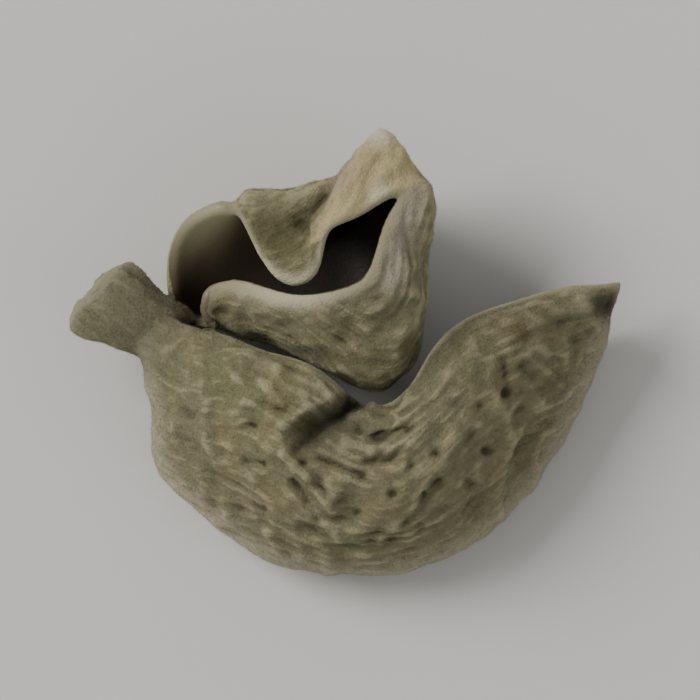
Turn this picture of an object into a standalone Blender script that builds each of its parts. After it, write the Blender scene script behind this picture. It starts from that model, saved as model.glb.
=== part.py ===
"""A dried wood ear mushroom, cut from its log, lying as it was dried.

The ear is one sheet of dried jelly, about a millimetre thick, grown from one cut foot. It has two
lobes. The front lobe is a shell that arches over the surface and rolls its lower margin under. The
rear lobe is a crumpled cup whose far wall rolls in over its mouth. Sections are drawn by hand, as on a
boat's lines plan, and smooth curves through them give the sheet. Lengths are in millimetres until the
last step, +X runs from the foot to the tip, +Y to the rear lobe and +Z up.
"""
import math

import bmesh
import bpy
import numpy as np
from mathutils import Vector, noise

# Driving dimensions of the dried ear, in millimetres
SHEET = 1.05
FOOT_SHEET = 2.0
FOOT_SHEET_REACH = 6.0
MARGIN_WAVE = 0.9
MARGIN_WAVE_LENGTH = 6.5
MARGIN_WAVE_REACH = 4.0
TIP_CALM = 6.0
WRINKLE_HEIGHT = 0.62
WRINKLE_VALLEY = 0.42
WRINKLE_LENGTH = 3.4
WRINKLE_MARGIN = 2.2
SIDE_CALM = 0.45
TOP_SLOPE = 0.6
LIP_ROUND = 1.15
LIP_LEAST = 0.0025
REST_HEIGHT = 0.45

# The crease that runs into the belly from the notch of the front lobe
NOTCH = (0.4, -3.9)
CREASE_END = (-4.3, -7.6)
CREASE_DEPTH = 3.2
CREASE_FACET = (1.3, 2.3)
CREASE_BEND = 1.1
CREASE_RISE = 0.7

# The step beside the flap of the rear lobe, where the flap stands over the tongue
FLAP_TOP = (0.9, 15.6)
FLAP_END = (-2.5, 8.9)
FLAP_STEP = 1.0
FLAP_STEP_EDGE = 0.5
FLAP_STEP_REACH = 2.4
FLAP_LEVEL = (12.2, 13.4)

# How finely the smooth sheet is drawn, and the mesh that is kept
CROWDING = 0.8
LEAST_SPAN = 0.05
FRONT_ACROSS = 110
FRONT_ALONG = 150
CUP_ACROSS = 64
CUP_AROUND = 200
FOOT_ALONG = 16
NORMAL_EASING = 5
FUSE_VOXEL = 0.26
FUSE_SMOOTHING = 5
KEPT_TRIANGLES = 9000

# Each noise has a seed of its own, so that no two of them make the same pattern
FRONT_WAVE_SEED = 11.0
FRONT_WRINKLE_SEED = 2.0
REAR_WAVE_SEED = 29.0
REAR_WRINKLE_SEED = 17.0
FOOT_SEED = 41.0

MILLIMETRE = 0.001

# Sections of the front lobe from the foot to the tip. Each runs across the lobe: its upper margin, the
# shoulder, the crest, the belly, the lower belly, the outline and the margin that is rolled under.
FRONT_SECTIONS = (
    ((-13.7, 3.3, 7.4), (-14.1, 2.7, 8.4), (-14.7, 1.8, 8.8), (-15.3, 1.0, 8.2),
     (-15.7, 0.4, 7.2), (-15.8, 0.1, 6.0), (-15.0, 0.6, 4.8)),
    ((-11.6, 1.9, 8.2), (-12.2, 0.9, 9.4), (-12.9, -0.5, 9.7), (-13.8, -2.2, 8.7),
     (-14.6, -3.5, 6.6), (-14.9, -4.1, 4.4), (-13.5, -3.3, 2.4)),
    ((-8.8, 1.1, 9.1), (-9.5, -0.1, 10.6), (-10.5, -2.0, 11.0), (-12.1, -4.7, 9.8),
     (-13.6, -7.1, 6.9), (-14.4, -8.3, 3.8), (-12.0, -6.7, 0.8)),
    ((-5.6, 0.3, 9.7), (-6.2, -0.9, 11.5), (-7.1, -3.2, 12.2), (-8.7, -6.8, 11.0),
     (-10.4, -10.1, 7.4), (-11.3, -11.8, 3.6), (-9.1, -9.1, 0.1)),
    ((-2.0, -1.4, 10.6), (-2.4, -3.0, 12.2), (-3.1, -5.8, 12.9), (-4.2, -9.7, 11.5),
     (-5.4, -13.4, 7.8), (-6.1, -15.5, 3.8), (-4.7, -11.6, -0.1)),
    ((1.3, -3.5, 10.2), (1.2, -4.8, 11.5), (1.0, -7.2, 12.4), (0.5, -10.8, 11.4),
     (0.0, -14.6, 7.8), (-0.3, -16.6, 4.0), (-0.2, -12.4, -0.1)),
    ((4.3, -2.6, 10.7), (4.5, -4.0, 12.2), (4.8, -6.5, 12.7), (5.1, -10.3, 11.5),
     (5.4, -13.8, 7.8), (5.6, -15.9, 4.0), (4.5, -11.4, -0.1)),
    ((7.5, 1.4, 10.8), (8.0, 0.2, 12.1), (8.8, -2.4, 12.3), (9.8, -6.4, 10.9),
     (10.9, -10.3, 7.2), (11.6, -12.3, 3.8), (9.1, -8.3, 0.0)),
    ((13.0, 4.1, 9.6), (13.3, 3.0, 10.7), (13.8, 0.8, 10.7), (14.5, -2.2, 9.1),
     (15.2, -5.2, 6.0), (15.7, -6.9, 3.4), (14.0, -2.7, 0.3)),
    ((17.4, 5.0, 8.0), (17.5, 4.2, 8.9), (17.7, 2.8, 8.8), (17.9, 1.1, 7.5),
     (18.1, -0.5, 5.4), (18.2, -1.2, 3.6), (17.8, 1.5, 1.9)),
    ((20.2, 5.4, 6.4), (20.3, 4.9, 6.9), (20.1, 4.2, 6.8), (19.7, 3.3, 6.2),
     (19.5, 2.6, 5.2), (19.5, 2.3, 4.3), (19.5, 3.0, 3.7)),
)

# Rings of the rear lobe, from its mouth down, each drawn round from the side by the foot: along the near
# wall, up the right one to the peak, and back along the far one. The mouth is the free margin.
CUP_MOUTH = (
    (-13.4, 4.2, 6.2), (-12.3, 2.0, 5.4), (-10.7, 2.5, 8.4), (-10.1, 4.0, 11.0), (-8.4, 4.7, 12.2),
    (-5.3, 4.1, 13.2), (-2.0, 4.0, 13.9), (0.9, 4.7, 14.3), (2.1, 7.2, 14.7), (3.0, 9.8, 14.9),
    (4.1, 11.7, 15.0), (3.2, 11.3, 15.0), (1.9, 10.5, 14.9), (0.3, 9.6, 14.6), (-1.3, 8.9, 14.2),
    (-1.9, 7.4, 13.4), (-2.4, 5.6, 12.6), (-3.8, 4.7, 12.1), (-5.4, 5.1, 11.9), (-6.6, 6.6, 11.9),
    (-7.5, 8.4, 12.1), (-8.3, 10.0, 12.2), (-9.3, 11.2, 11.8), (-11.0, 10.6, 10.6), (-12.6, 9.1, 9.0),
    (-13.6, 6.7, 7.6))
CUP_SHOULDER = (
    (-13.3, 4.0, 5.2), (-12.3, 1.8, 4.6), (-11.0, 1.9, 7.2), (-10.4, 2.8, 9.6), (-8.4, 3.2, 11.0),
    (-5.3, 2.6, 12.0), (-1.8, 2.0, 12.4), (2.2, 2.6, 12.6), (4.3, 5.6, 13.4), (5.0, 8.8, 13.8),
    (5.9, 11.2, 14.0), (4.2, 14.2, 14.3), (2.4, 16.5, 14.6), (0.5, 14.6, 14.7), (-1.0, 12.7, 14.7),
    (-2.6, 12.1, 14.2), (-3.8, 11.9, 13.8), (-4.8, 11.8, 13.4), (-5.6, 11.7, 13.1), (-6.4, 11.7, 12.8),
    (-7.2, 11.6, 12.5), (-8.0, 11.4, 12.0), (-9.0, 10.8, 10.6), (-10.6, 9.9, 9.2), (-12.0, 8.5, 7.8),
    (-13.0, 6.3, 6.5))
CUP_WALL = (
    (-12.4, 3.7, 3.4), (-11.7, 1.8, 3.3), (-10.7, 1.6, 4.9), (-9.7, 1.5, 6.4), (-7.9, 1.2, 7.2),
    (-4.9, 0.4, 7.8), (-1.2, -1.9, 7.6), (3.0, -2.6, 7.6), (5.4, 1.2, 8.2), (5.4, 5.2, 8.8),
    (5.2, 9.6, 9.6), (4.2, 12.6, 10.4), (2.4, 14.6, 10.8), (0.8, 13.4, 10.7), (-0.9, 12.3, 10.2),
    (-2.4, 11.8, 9.7), (-3.5, 11.5, 9.2), (-4.5, 11.3, 8.8), (-5.4, 11.2, 8.4), (-6.2, 11.1, 7.9),
    (-7.0, 10.8, 7.4), (-7.8, 10.2, 6.8), (-8.6, 9.4, 6.2), (-9.6, 8.2, 5.4), (-10.8, 7.0, 4.7),
    (-11.9, 5.4, 4.0))
CUP_LOW = (
    (-10.3, 3.8, 1.9), (-9.8, 2.8, 2.0), (-8.9, 2.2, 2.3), (-8.1, 1.8, 2.6), (-6.8, 1.4, 2.8),
    (-4.4, 0.8, 2.9), (-1.2, -0.2, 2.8), (2.6, -0.4, 2.9), (4.6, 2.6, 3.1), (4.6, 5.6, 3.3),
    (4.2, 8.6, 3.5), (3.4, 10.8, 3.8), (2.0, 12.0, 4.0), (0.6, 11.8, 3.8), (-0.8, 11.3, 3.6),
    (-2.0, 10.9, 3.3), (-3.0, 10.6, 3.1), (-3.9, 10.3, 3.0), (-4.7, 10.0, 2.9), (-5.5, 9.6, 2.8),
    (-6.2, 9.2, 2.6), (-6.9, 8.7, 2.5), (-7.5, 8.1, 2.3), (-8.3, 7.2, 2.1), (-9.1, 6.1, 2.0),
    (-9.8, 4.9, 1.9))
CUP_CENTRE = (-3.5, 5.4)
CUP_FLOOR_SCALE = 0.55
CUP_FLOOR_HEIGHT = 0.5
CUP_POLE_SCALE = 0.03
CUP_POLE_HEIGHT = 0.35

# The cut foot: where each of its sections is, its half width and half thickness. It widens towards the
# cut, where it was pulled and sliced from the log.
FOOT_SECTIONS = (
    ((-12.6, 1.0, 5.4), 2.0, 1.2),
    ((-14.2, 1.6, 6.5), 2.5, 1.7),
    ((-15.9, 2.4, 7.1), 2.7, 1.7),
    ((-17.4, 3.3, 7.4), 3.2, 1.5),
    ((-18.5, 4.0, 7.5), 3.4, 1.3),
)
FOOT_CUT_DIRECTION = (-0.74, 0.67, 0.08)
FOOT_ROUND = 56
FOOT_PLEATS = 7
FOOT_PLEAT = 0.05
FOOT_ROUGH = 0.35
FOOT_ROUGH_LENGTH = 1.8
# How far the two caps of the cut are drawn in, and how far they stand out
CUT_CAPS = ((0.82, 0.55), (0.45, 0.95))


def clear_scene():
    """Empty the file that Blender starts with."""
    for thing in list(bpy.data.objects):
        bpy.data.objects.remove(thing)


def smooth_curve(points, places, closed=False):
    """A cubic spline through evenly numbered points, read at places between 0 and 1."""
    points = np.asarray(points, float)
    count = len(points)
    spans = count if closed else count - 1
    system = np.zeros((count, count))
    right = np.zeros(points.shape)
    for i in range(count):
        before, after = i - 1, (i + 1) % count
        if not closed and i in (0, count - 1):
            system[i, i] = 1.0
            continue
        system[i, before] += 1.0
        system[i, i] += 4.0
        system[i, after] += 1.0
        right[i] = 6.0 * (points[after] - 2.0 * points[i] + points[before])
    bend = np.linalg.solve(system, right.reshape(count, -1)).reshape(points.shape)
    read = np.asarray(places) * spans
    start = np.clip(np.floor(read).astype(int), 0, spans - 1)
    step = (read - start).reshape((-1,) + (1,) * (points.ndim - 1))
    end = (start + 1) % count
    rest = 1.0 - step
    return (rest * points[start] + step * points[end]
            + ((rest ** 3 - rest) * bend[start] + (step ** 3 - step) * bend[end]) / 6.0)


def curve_by_length(points, places):
    """A natural cubic spline down each column, numbered by its real length, read at places 0 to 1."""
    points = np.asarray(points, float)
    count = len(points)
    spans = np.maximum(np.linalg.norm(np.diff(points, axis=0), axis=2), LEAST_SPAN)
    knots = np.concatenate([np.zeros((1, points.shape[1])), np.cumsum(spans, axis=0)])
    system = np.zeros((points.shape[1], count, count))
    system[:, 0, 0] = system[:, -1, -1] = 1.0
    right = np.zeros((points.shape[1], count, 3))
    for i in range(1, count - 1):
        before, after = spans[i - 1], spans[i]
        system[:, i, i - 1] = before
        system[:, i, i] = 2.0 * (before + after)
        system[:, i, i + 1] = after
        right[:, i] = 6.0 * ((points[i + 1] - points[i]) / after[:, None]
                             - (points[i] - points[i - 1]) / before[:, None])
    bend = np.swapaxes(np.linalg.solve(system, right), 0, 1)
    read = np.asarray(places)[:, None] * knots[-1]
    start = (read[:, None] >= knots[None, 1:-1]).sum(axis=1)
    column = np.arange(points.shape[1])
    span = spans[start, column]
    step = ((read - knots[start, column]) / span)[..., None]
    rest = 1.0 - step
    return (rest * points[start, column] + step * points[start + 1, column]
            + ((rest ** 3 - rest) * bend[start, column] + (step ** 3 - step) * bend[start + 1, column])
            * (span ** 2)[..., None] / 6.0)


def crowded(count):
    """Places from 0 to 1 that crowd towards both ends, so that a margin can be round."""
    even = np.linspace(0.0, 1.0, count)
    return even + CROWDING * (0.5 - 0.5 * np.cos(math.pi * even) - even)


def crowded_at_end(count):
    """Places from 0 to 1 that crowd towards 1."""
    even = np.linspace(0.0, 1.0, count)
    return even + CROWDING * (np.sin(0.5 * math.pi * even) - even)


def run_lengths(grid, axis):
    """The length along the sheet from its first row or column to each point."""
    steps = np.linalg.norm(np.diff(grid, axis=axis), axis=2)
    start = np.zeros_like(np.take(steps, [0], axis=axis))
    return np.concatenate([start, np.cumsum(steps, axis=axis)], axis=axis)


def eased(grid, passes, closed):
    """The grid with each value drawn towards its neighbours."""
    for _ in range(passes):
        padded = np.concatenate([grid[:1], grid, grid[-1:]])
        grid = 0.25 * padded[:-2] + 0.5 * padded[1:-1] + 0.25 * padded[2:]
        if closed:
            padded = np.concatenate([grid[:, -1:], grid, grid[:, :1]], axis=1)
        else:
            padded = np.concatenate([grid[:, :1], grid, grid[:, -1:]], axis=1)
        grid = 0.25 * padded[:, :-2] + 0.5 * padded[:, 1:-1] + 0.25 * padded[:, 2:]
    return grid


def unit(vectors):
    """The same directions, one long."""
    return vectors / np.maximum(np.linalg.norm(vectors, axis=-1, keepdims=True), 1e-9)


def sheet_normals(grid, outside, closed=False):
    """Unit normals of a grid, eased over tight curls and turned to the outer face by one of them."""
    across = np.gradient(grid, axis=0)
    if closed:
        along = np.roll(grid, -1, axis=1) - np.roll(grid, 1, axis=1)
    else:
        along = np.gradient(grid, axis=1)
    normals = unit(eased(unit(np.cross(across, along)), NORMAL_EASING, closed))
    row, column, height = outside
    return normals * np.sign(normals[row, column, 2] * height)


def noise_at(points, length, seed):
    """Smooth noise, about -1 to 1, with features of the given length."""
    flat = points.reshape(-1, 3) / length + seed
    values = [noise.noise(Vector(point)) for point in flat]
    return np.array(values).reshape(points.shape[:2])


def wrinkles(points, seed):
    """Folds with sharp crests, as dried skin has, about 0 to 1."""
    swirl = noise_at(points, WRINKLE_LENGTH * 2.4, seed + 7.0)[..., None]
    bent = points + swirl * np.array((1.6, -1.1, 0.7))
    coarse = 1.0 - np.abs(noise_at(bent, WRINKLE_LENGTH, seed)) * 2.2
    fine = 1.0 - np.abs(noise_at(bent, WRINKLE_LENGTH * 0.52, seed + 3.0)) * 2.2
    return 0.65 * coarse + 0.35 * fine


def fade(distance, reach):
    """1 at the margin, falling smoothly to 0 at the given reach."""
    x = np.clip(distance / reach, 0.0, 1.0)
    return 1.0 - x * x * (3.0 - 2.0 * x)


def half_thickness(distance, thickness):
    """Half the sheet's thickness, rounded off towards the margin."""
    half = 0.5 * thickness
    inward = np.clip(distance / (LIP_ROUND * half), 0.0, 1.0)
    return half * np.sqrt(np.maximum(1.0 - (1.0 - inward) ** 2, LIP_LEAST))


def two_faces(middle, normals, half, margin, seed):
    """The outer, wrinkled face and the inner, smooth one."""
    relief = WRINKLE_HEIGHT * (wrinkles(middle, seed) - WRINKLE_VALLEY) * (1.0 - fade(margin, WRINKLE_MARGIN))
    relief *= SIDE_CALM + (1.0 - SIDE_CALM) * np.clip(normals[..., 2] / TOP_SLOPE, 0.0, 1.0)
    outer = middle + normals * (half + relief * (half / (0.5 * SHEET)).clip(0.0, 1.0))[..., None]
    return outer, middle - normals * half[..., None]


def crease(points):
    """How far the crease sinks each point of the front lobe."""
    start, end = np.array(NOTCH), np.array(CREASE_END)
    length = np.linalg.norm(end - start)
    run = (end - start) / length
    place = points[..., :2] - start
    along = np.clip(place @ run / length, 0.0, 1.0)
    away = place @ np.array((-run[1], run[0]))
    facet = CREASE_FACET[0] + (CREASE_FACET[1] - CREASE_FACET[0]) * along
    down = np.clip(1.0 + away / facet, 0.0, 1.0) ** CREASE_BEND
    up = np.exp(-np.maximum(away, 0.0) / CREASE_RISE)
    move = np.zeros(points.shape)
    move[..., 2] = -CREASE_DEPTH * down * up * (1.0 - along ** 3)
    return move


def flap_step(points):
    """How far each point of the rear lobe sinks beside the flap."""
    start, end = np.array(FLAP_TOP), np.array(FLAP_END)
    length = np.linalg.norm(end - start)
    run = (end - start) / length
    place = points[..., :2] - start
    along = place @ run / length
    away = place @ np.array((run[1], -run[0]))
    ends = (1.0 - fade(along, 0.2)) * (1.0 - fade(1.15 - along, 0.15))
    step = (1.0 - fade(away, FLAP_STEP_EDGE)) * fade(away - FLAP_STEP_EDGE, FLAP_STEP_REACH)
    above = 1.0 - fade(points[..., 2] - FLAP_LEVEL[0], FLAP_LEVEL[1] - FLAP_LEVEL[0])
    move = np.zeros(points.shape)
    move[..., 2] = -FLAP_STEP * step * ends * above
    return move


def mesh_from(points, faces, name):
    """A mesh from points in millimetres."""
    mesh = bpy.data.meshes.new(name)
    mesh.from_pydata([tuple(point) for point in points], [], faces)
    mesh.validate()
    return mesh


def front_lobe():
    """The shell of the front lobe, closed, with its hairy side out."""
    lines = np.swapaxes(smooth_curve(np.array(FRONT_SECTIONS), crowded(FRONT_ALONG)), 0, 1)
    grid = curve_by_length(lines, crowded(FRONT_ACROSS))
    from_top = run_lengths(grid, 0)
    from_foot = run_lengths(grid, 1)
    to_tip = from_foot[:, -1:] - from_foot
    margin = np.minimum(np.minimum(from_top, from_top[-1] - from_top), to_tip)
    outside = (FRONT_ACROSS // 3, FRONT_ALONG // 2, 1.0)
    top_face = np.clip(sheet_normals(grid, outside)[..., 2], 0.0, 1.0)
    grid += crease(grid) * (top_face ** 0.5)[..., None]
    wave = noise_at(grid, MARGIN_WAVE_LENGTH, FRONT_WAVE_SEED) * MARGIN_WAVE * (1.0 - fade(to_tip, TIP_CALM))
    grid += sheet_normals(grid, outside) * (wave * fade(margin, MARGIN_WAVE_REACH))[..., None]
    normals = sheet_normals(grid, outside)
    thickness = SHEET + (FOOT_SHEET - SHEET) * fade(from_foot, FOOT_SHEET_REACH)
    middle = grid - normals * (0.5 * thickness)[..., None]
    half = half_thickness(np.minimum(margin, from_foot + 1.0), thickness)
    outer, inner = two_faces(middle, normals, half, margin, FRONT_WRINKLE_SEED)
    return closed_shell(outer, inner, "front_lobe")


def closed_shell(outer, inner, name):
    """Two faces of a sheet, joined round all four margins."""
    rows, columns = outer.shape[:2]
    points = np.concatenate([outer.reshape(-1, 3), inner.reshape(-1, 3)])
    half = rows * columns
    faces = []
    for i in range(rows - 1):
        for j in range(columns - 1):
            a, b = i * columns + j, i * columns + j + 1
            c, d = b + columns, a + columns
            faces.append((a, b, c, d))
            faces.append((half + d, half + c, half + b, half + a))
    edge = [(0, j) for j in range(columns)]
    edge += [(i, columns - 1) for i in range(1, rows)]
    edge += [(rows - 1, j) for j in range(columns - 2, -1, -1)]
    edge += [(i, 0) for i in range(rows - 2, 0, -1)]
    ids = [i * columns + j for i, j in edge]
    for a, b in zip(ids, ids[1:] + ids[:1]):
        faces.append((b, a, half + a, half + b))
    return mesh_from(points, faces, name)


def low_ring_drawn_in(scale, height):
    """The lowest drawn ring of the cup, drawn in towards its centre, at a height."""
    return [(CUP_CENTRE[0] + (x - CUP_CENTRE[0]) * scale,
             CUP_CENTRE[1] + (y - CUP_CENTRE[1]) * scale, height) for x, y, z in CUP_LOW]


def rear_lobe():
    """The cup of the rear lobe, closed, with its hairy side out."""
    pole = low_ring_drawn_in(CUP_POLE_SCALE, CUP_POLE_HEIGHT)
    floor = low_ring_drawn_in(CUP_FLOOR_SCALE, CUP_FLOOR_HEIGHT)
    rings = np.array((pole, floor, CUP_LOW, CUP_WALL, CUP_SHOULDER, CUP_MOUTH))
    around = np.linspace(0.0, 1.0, CUP_AROUND, endpoint=False)
    lines = np.swapaxes(smooth_curve(np.swapaxes(rings, 0, 1), around, closed=True), 0, 1)
    grid = curve_by_length(lines, crowded_at_end(CUP_ACROSS))
    climbed = run_lengths(grid, 0)
    margin = climbed[-1] - climbed
    outside = (2, 0, -1.0)
    grid += flap_step(grid)
    wave = noise_at(grid, MARGIN_WAVE_LENGTH, REAR_WAVE_SEED) * MARGIN_WAVE
    grid += sheet_normals(grid, outside, closed=True) * (wave * fade(margin, MARGIN_WAVE_REACH))[..., None]
    normals = sheet_normals(grid, outside, closed=True)
    middle = grid - normals * 0.5 * SHEET
    outer, inner = two_faces(middle, normals, half_thickness(margin, SHEET), margin, REAR_WRINKLE_SEED)
    return closed_lathe(np.concatenate([outer, inner[::-1]]), "rear_lobe")


def closed_lathe(loops, name):
    """A closed skin through rings of points, with a cap on the first and the last."""
    rows, columns = loops.shape[:2]
    faces = []
    for i in range(rows - 1):
        for j in range(columns):
            after = (j + 1) % columns
            faces.append((i * columns + j, i * columns + after,
                          (i + 1) * columns + after, (i + 1) * columns + j))
    faces.append(tuple(range(columns - 1, -1, -1)))
    faces.append(tuple(range((rows - 1) * columns, rows * columns)))
    return mesh_from(loops.reshape(-1, 3), faces, name)


def foot():
    """The cut foot, a flat stalk that widens towards its cut."""
    places = np.linspace(0.0, 1.0, FOOT_ALONG)
    centres = smooth_curve([section[0] for section in FOOT_SECTIONS], places)
    halves = smooth_curve([section[1:] for section in FOOT_SECTIONS], places)
    direction = unit(np.array(FOOT_CUT_DIRECTION))
    wide = unit(np.cross(direction, (0.0, 0.0, 1.0)))
    thick = np.cross(wide, direction)
    turn = np.linspace(0.0, 2.0 * math.pi, FOOT_ROUND, endpoint=False)
    pleat = 1.0 + FOOT_PLEAT * np.cos(FOOT_PLEATS * turn)
    rings = (centres[:, None] + (pleat * np.cos(turn))[None, :, None] * halves[:, None, :1] * wide
             + (pleat * np.sin(turn))[None, :, None] * halves[:, None, 1:] * thick)
    # The cut bulges a little, because the middle of the foot tore last
    caps = [centres[-1] + (rings[-1] - centres[-1]) * grow + direction * out for grow, out in CUT_CAPS]
    rings = np.concatenate([rings, caps])
    rings += direction * (noise_at(rings, FOOT_ROUGH_LENGTH, FOOT_SEED) * FOOT_ROUGH)[..., None]
    return closed_lathe(rings, "foot")


def fused(meshes):
    """One closed skin round all the pieces, as they grew."""
    shell = bmesh.new()
    for mesh in meshes:
        piece = bmesh.new()
        piece.from_mesh(mesh)
        bmesh.ops.recalc_face_normals(piece, faces=piece.faces)
        if piece.calc_volume(signed=True) < 0.0:
            bmesh.ops.reverse_faces(piece, faces=piece.faces)
        piece.to_mesh(mesh)
        piece.free()
        shell.from_mesh(mesh)
    joined = bpy.data.meshes.new("sheets")
    shell.to_mesh(joined)
    shell.free()
    holder = bpy.data.objects.new("sheets", joined)
    bpy.context.scene.collection.objects.link(holder)
    remesh = holder.modifiers.new("fuse", "REMESH")
    remesh.mode = "VOXEL"
    remesh.voxel_size = FUSE_VOXEL
    remesh.adaptivity = 0.0
    smooth = holder.modifiers.new("weathering", "SMOOTH")
    smooth.factor = 0.5
    smooth.iterations = FUSE_SMOOTHING
    holder.modifiers.new("triangles", "TRIANGULATE")
    bpy.context.view_layer.update()
    graph = bpy.context.evaluated_depsgraph_get()
    fine = bpy.data.meshes.new_from_object(holder.evaluated_get(graph))
    decimate = holder.modifiers.new("thin_out", "DECIMATE")
    decimate.ratio = min(1.0, KEPT_TRIANGLES / len(fine.polygons))
    graph = bpy.context.evaluated_depsgraph_get()
    kept = bpy.data.meshes.new_from_object(holder.evaluated_get(graph))
    bpy.data.objects.remove(holder)
    return kept


def rested(mesh):
    """Cut the lowest skin off flat, where the ear lies on the surface, and centre the ear."""
    shape = bmesh.new()
    shape.from_mesh(mesh)
    everything = shape.verts[:] + shape.edges[:] + shape.faces[:]
    cut = bmesh.ops.bisect_plane(shape, geom=everything, dist=0.0005, plane_co=(0.0, 0.0, REST_HEIGHT),
                                 plane_no=(0.0, 0.0, 1.0), clear_inner=True)
    rim = [item for item in cut["geom_cut"] if isinstance(item, bmesh.types.BMEdge)]
    bmesh.ops.triangle_fill(shape, edges=rim, use_beauty=True, normal=(0.0, 0.0, -1.0))
    bmesh.ops.triangulate(shape, faces=shape.faces)
    bmesh.ops.recalc_face_normals(shape, faces=shape.faces)
    low = [min(vertex.co[axis] for vertex in shape.verts) for axis in range(3)]
    high = [max(vertex.co[axis] for vertex in shape.verts) for axis in range(3)]
    shift = Vector((-(low[0] + high[0]) / 2.0, -(low[1] + high[1]) / 2.0, -low[2]))
    bmesh.ops.translate(shape, verts=shape.verts, vec=shift)
    bmesh.ops.scale(shape, verts=shape.verts, vec=(MILLIMETRE, MILLIMETRE, MILLIMETRE))
    print("ear size mm", [round(h - l, 2) for l, h in zip(low, high)], "shift", tuple(shift))
    rested_mesh = bpy.data.meshes.new("wood_ear")
    shape.to_mesh(rested_mesh)
    shape.free()
    return rested_mesh


def felt_material():
    """Dried felted skin, a dull olive tan."""
    material = bpy.data.materials.new("dried_ear_felt")
    material.use_nodes = True
    shader = material.node_tree.nodes["Principled BSDF"]
    shader.inputs["Base Color"].default_value = (0.19, 0.165, 0.105, 1.0)
    shader.inputs["Roughness"].default_value = 0.9
    shader.inputs["Metallic"].default_value = 0.0
    return material


def build():
    """Make the ear."""
    clear_scene()
    mesh = rested(fused([front_lobe(), rear_lobe(), foot()]))
    ear = bpy.data.objects.new("wood_ear", mesh)
    bpy.context.scene.collection.objects.link(ear)
    mesh.materials.append(felt_material())
    mesh.shade_smooth()
    return ear


build()
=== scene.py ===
# %% [markdown]
# A dried wood ear mushroom, cut from its log and lying as it dried. It grew as one sheet of jelly about a
# millimetre thick: felted and olive tan outside, nearly black and smooth inside. The sheet makes a front lobe
# that arches over the surface, a rear lobe crumpled to a cup, and one cut foot. This lesson dresses the plain
# solid of that ear with a fine skin and its felt of short hairs. The solid itself is never moved.

# %% Load the fixed frame
import math

import bmesh
import bpy
import numpy as np
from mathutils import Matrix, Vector, kdtree, noise


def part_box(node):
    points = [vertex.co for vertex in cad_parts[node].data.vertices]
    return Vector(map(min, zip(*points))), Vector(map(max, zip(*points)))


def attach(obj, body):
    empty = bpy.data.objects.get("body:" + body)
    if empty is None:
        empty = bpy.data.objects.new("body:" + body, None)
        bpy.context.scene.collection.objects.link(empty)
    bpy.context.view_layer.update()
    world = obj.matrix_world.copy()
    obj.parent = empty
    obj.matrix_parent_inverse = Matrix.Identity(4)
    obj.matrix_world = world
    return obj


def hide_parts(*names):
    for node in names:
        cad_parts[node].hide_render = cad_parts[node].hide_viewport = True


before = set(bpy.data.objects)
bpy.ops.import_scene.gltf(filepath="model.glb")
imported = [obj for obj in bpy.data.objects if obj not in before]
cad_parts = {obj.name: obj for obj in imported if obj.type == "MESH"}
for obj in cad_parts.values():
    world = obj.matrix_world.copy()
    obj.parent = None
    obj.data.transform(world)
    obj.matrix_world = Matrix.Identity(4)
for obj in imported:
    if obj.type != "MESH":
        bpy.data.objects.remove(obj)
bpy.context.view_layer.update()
EAR_LOW, EAR_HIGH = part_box("wood_ear")
MM = 0.001
print("ear in mm", [round(v / MM, 2) for v in EAR_HIGH - EAR_LOW])

# %% [markdown]
# The camera comes first. The ear is seen from straight above, as it was photographed. A long lens a metre
# away keeps the tall middle of the ear from swelling. The width of the view is a real size, so the lens is
# worked out from it.

# %% Camera
VIEW_CENTRE = (0.35, 0.24)
VIEW_WIDTH = 51.7
VIEW_HEIGHT = 8.0
CAMERA_HEIGHT = 1000.0
SENSOR = 36.0

camera_data = bpy.data.cameras.new("camera")
camera_data.sensor_width = SENSOR
camera_data.lens = SENSOR * (CAMERA_HEIGHT - VIEW_HEIGHT) / VIEW_WIDTH
camera_data.clip_start = 0.01
camera_data.clip_end = 20.0
camera = bpy.data.objects.new("camera", camera_data)
camera.location = (VIEW_CENTRE[0] * MM, VIEW_CENTRE[1] * MM, CAMERA_HEIGHT * MM)
bpy.context.scene.collection.objects.link(camera)
bpy.context.scene.camera = camera
print("lens mm", round(camera_data.lens, 1))

# %% [markdown]
# The light is one large soft lamp from the upper left, a weak lamp from the right that opens the shadows, and
# a pale grey world. The floor is plain and matt. The lamps stand a metre away and are large, so the folds
# get soft shadows, as they do under a cloudy window.

# %% Light and floor
KEY_PLACE = (-0.95, 0.50, 0.95)
KEY_SIZE = 0.7
KEY_WATTS = 15.5
FILL_PLACE = (0.9, -0.5, 0.8)
FILL_SIZE = 0.9
FILL_WATTS = 1.2
WORLD_LIGHT = 0.42
FLOOR_SIDE = 8.0
FLOOR_DROP = 0.02


def linear(hex_colour):
    """An sRGB hex value as the linear colour that a shader takes."""
    channels = [int(hex_colour[i:i + 2], 16) / 255.0 for i in (1, 3, 5)]
    bright = [c / 12.92 if c <= 0.04045 else ((c + 0.055) / 1.055) ** 2.4 for c in channels]
    return (*bright, 1.0)


def lamp(name, place, size, watts):
    """A square soft lamp that faces the ear."""
    data = bpy.data.lights.new(name, "AREA")
    data.size = size
    data.energy = watts
    made = bpy.data.objects.new(name, data)
    made.location = place
    made.rotation_euler = (-Vector(place)).to_track_quat("-Z", "Y").to_euler()
    bpy.context.scene.collection.objects.link(made)
    return made


def add_node(tree, kind, settings=None, inputs=None):
    """Add a node, set its properties, and set or link its inputs."""
    made = tree.nodes.new(kind)
    for name, value in (settings or {}).items():
        setattr(made, name, value)
    for name, value in (inputs or {}).items():
        if isinstance(value, bpy.types.NodeSocket):
            tree.links.new(value, made.inputs[name])
        else:
            made.inputs[name].default_value = value
    return made


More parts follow.
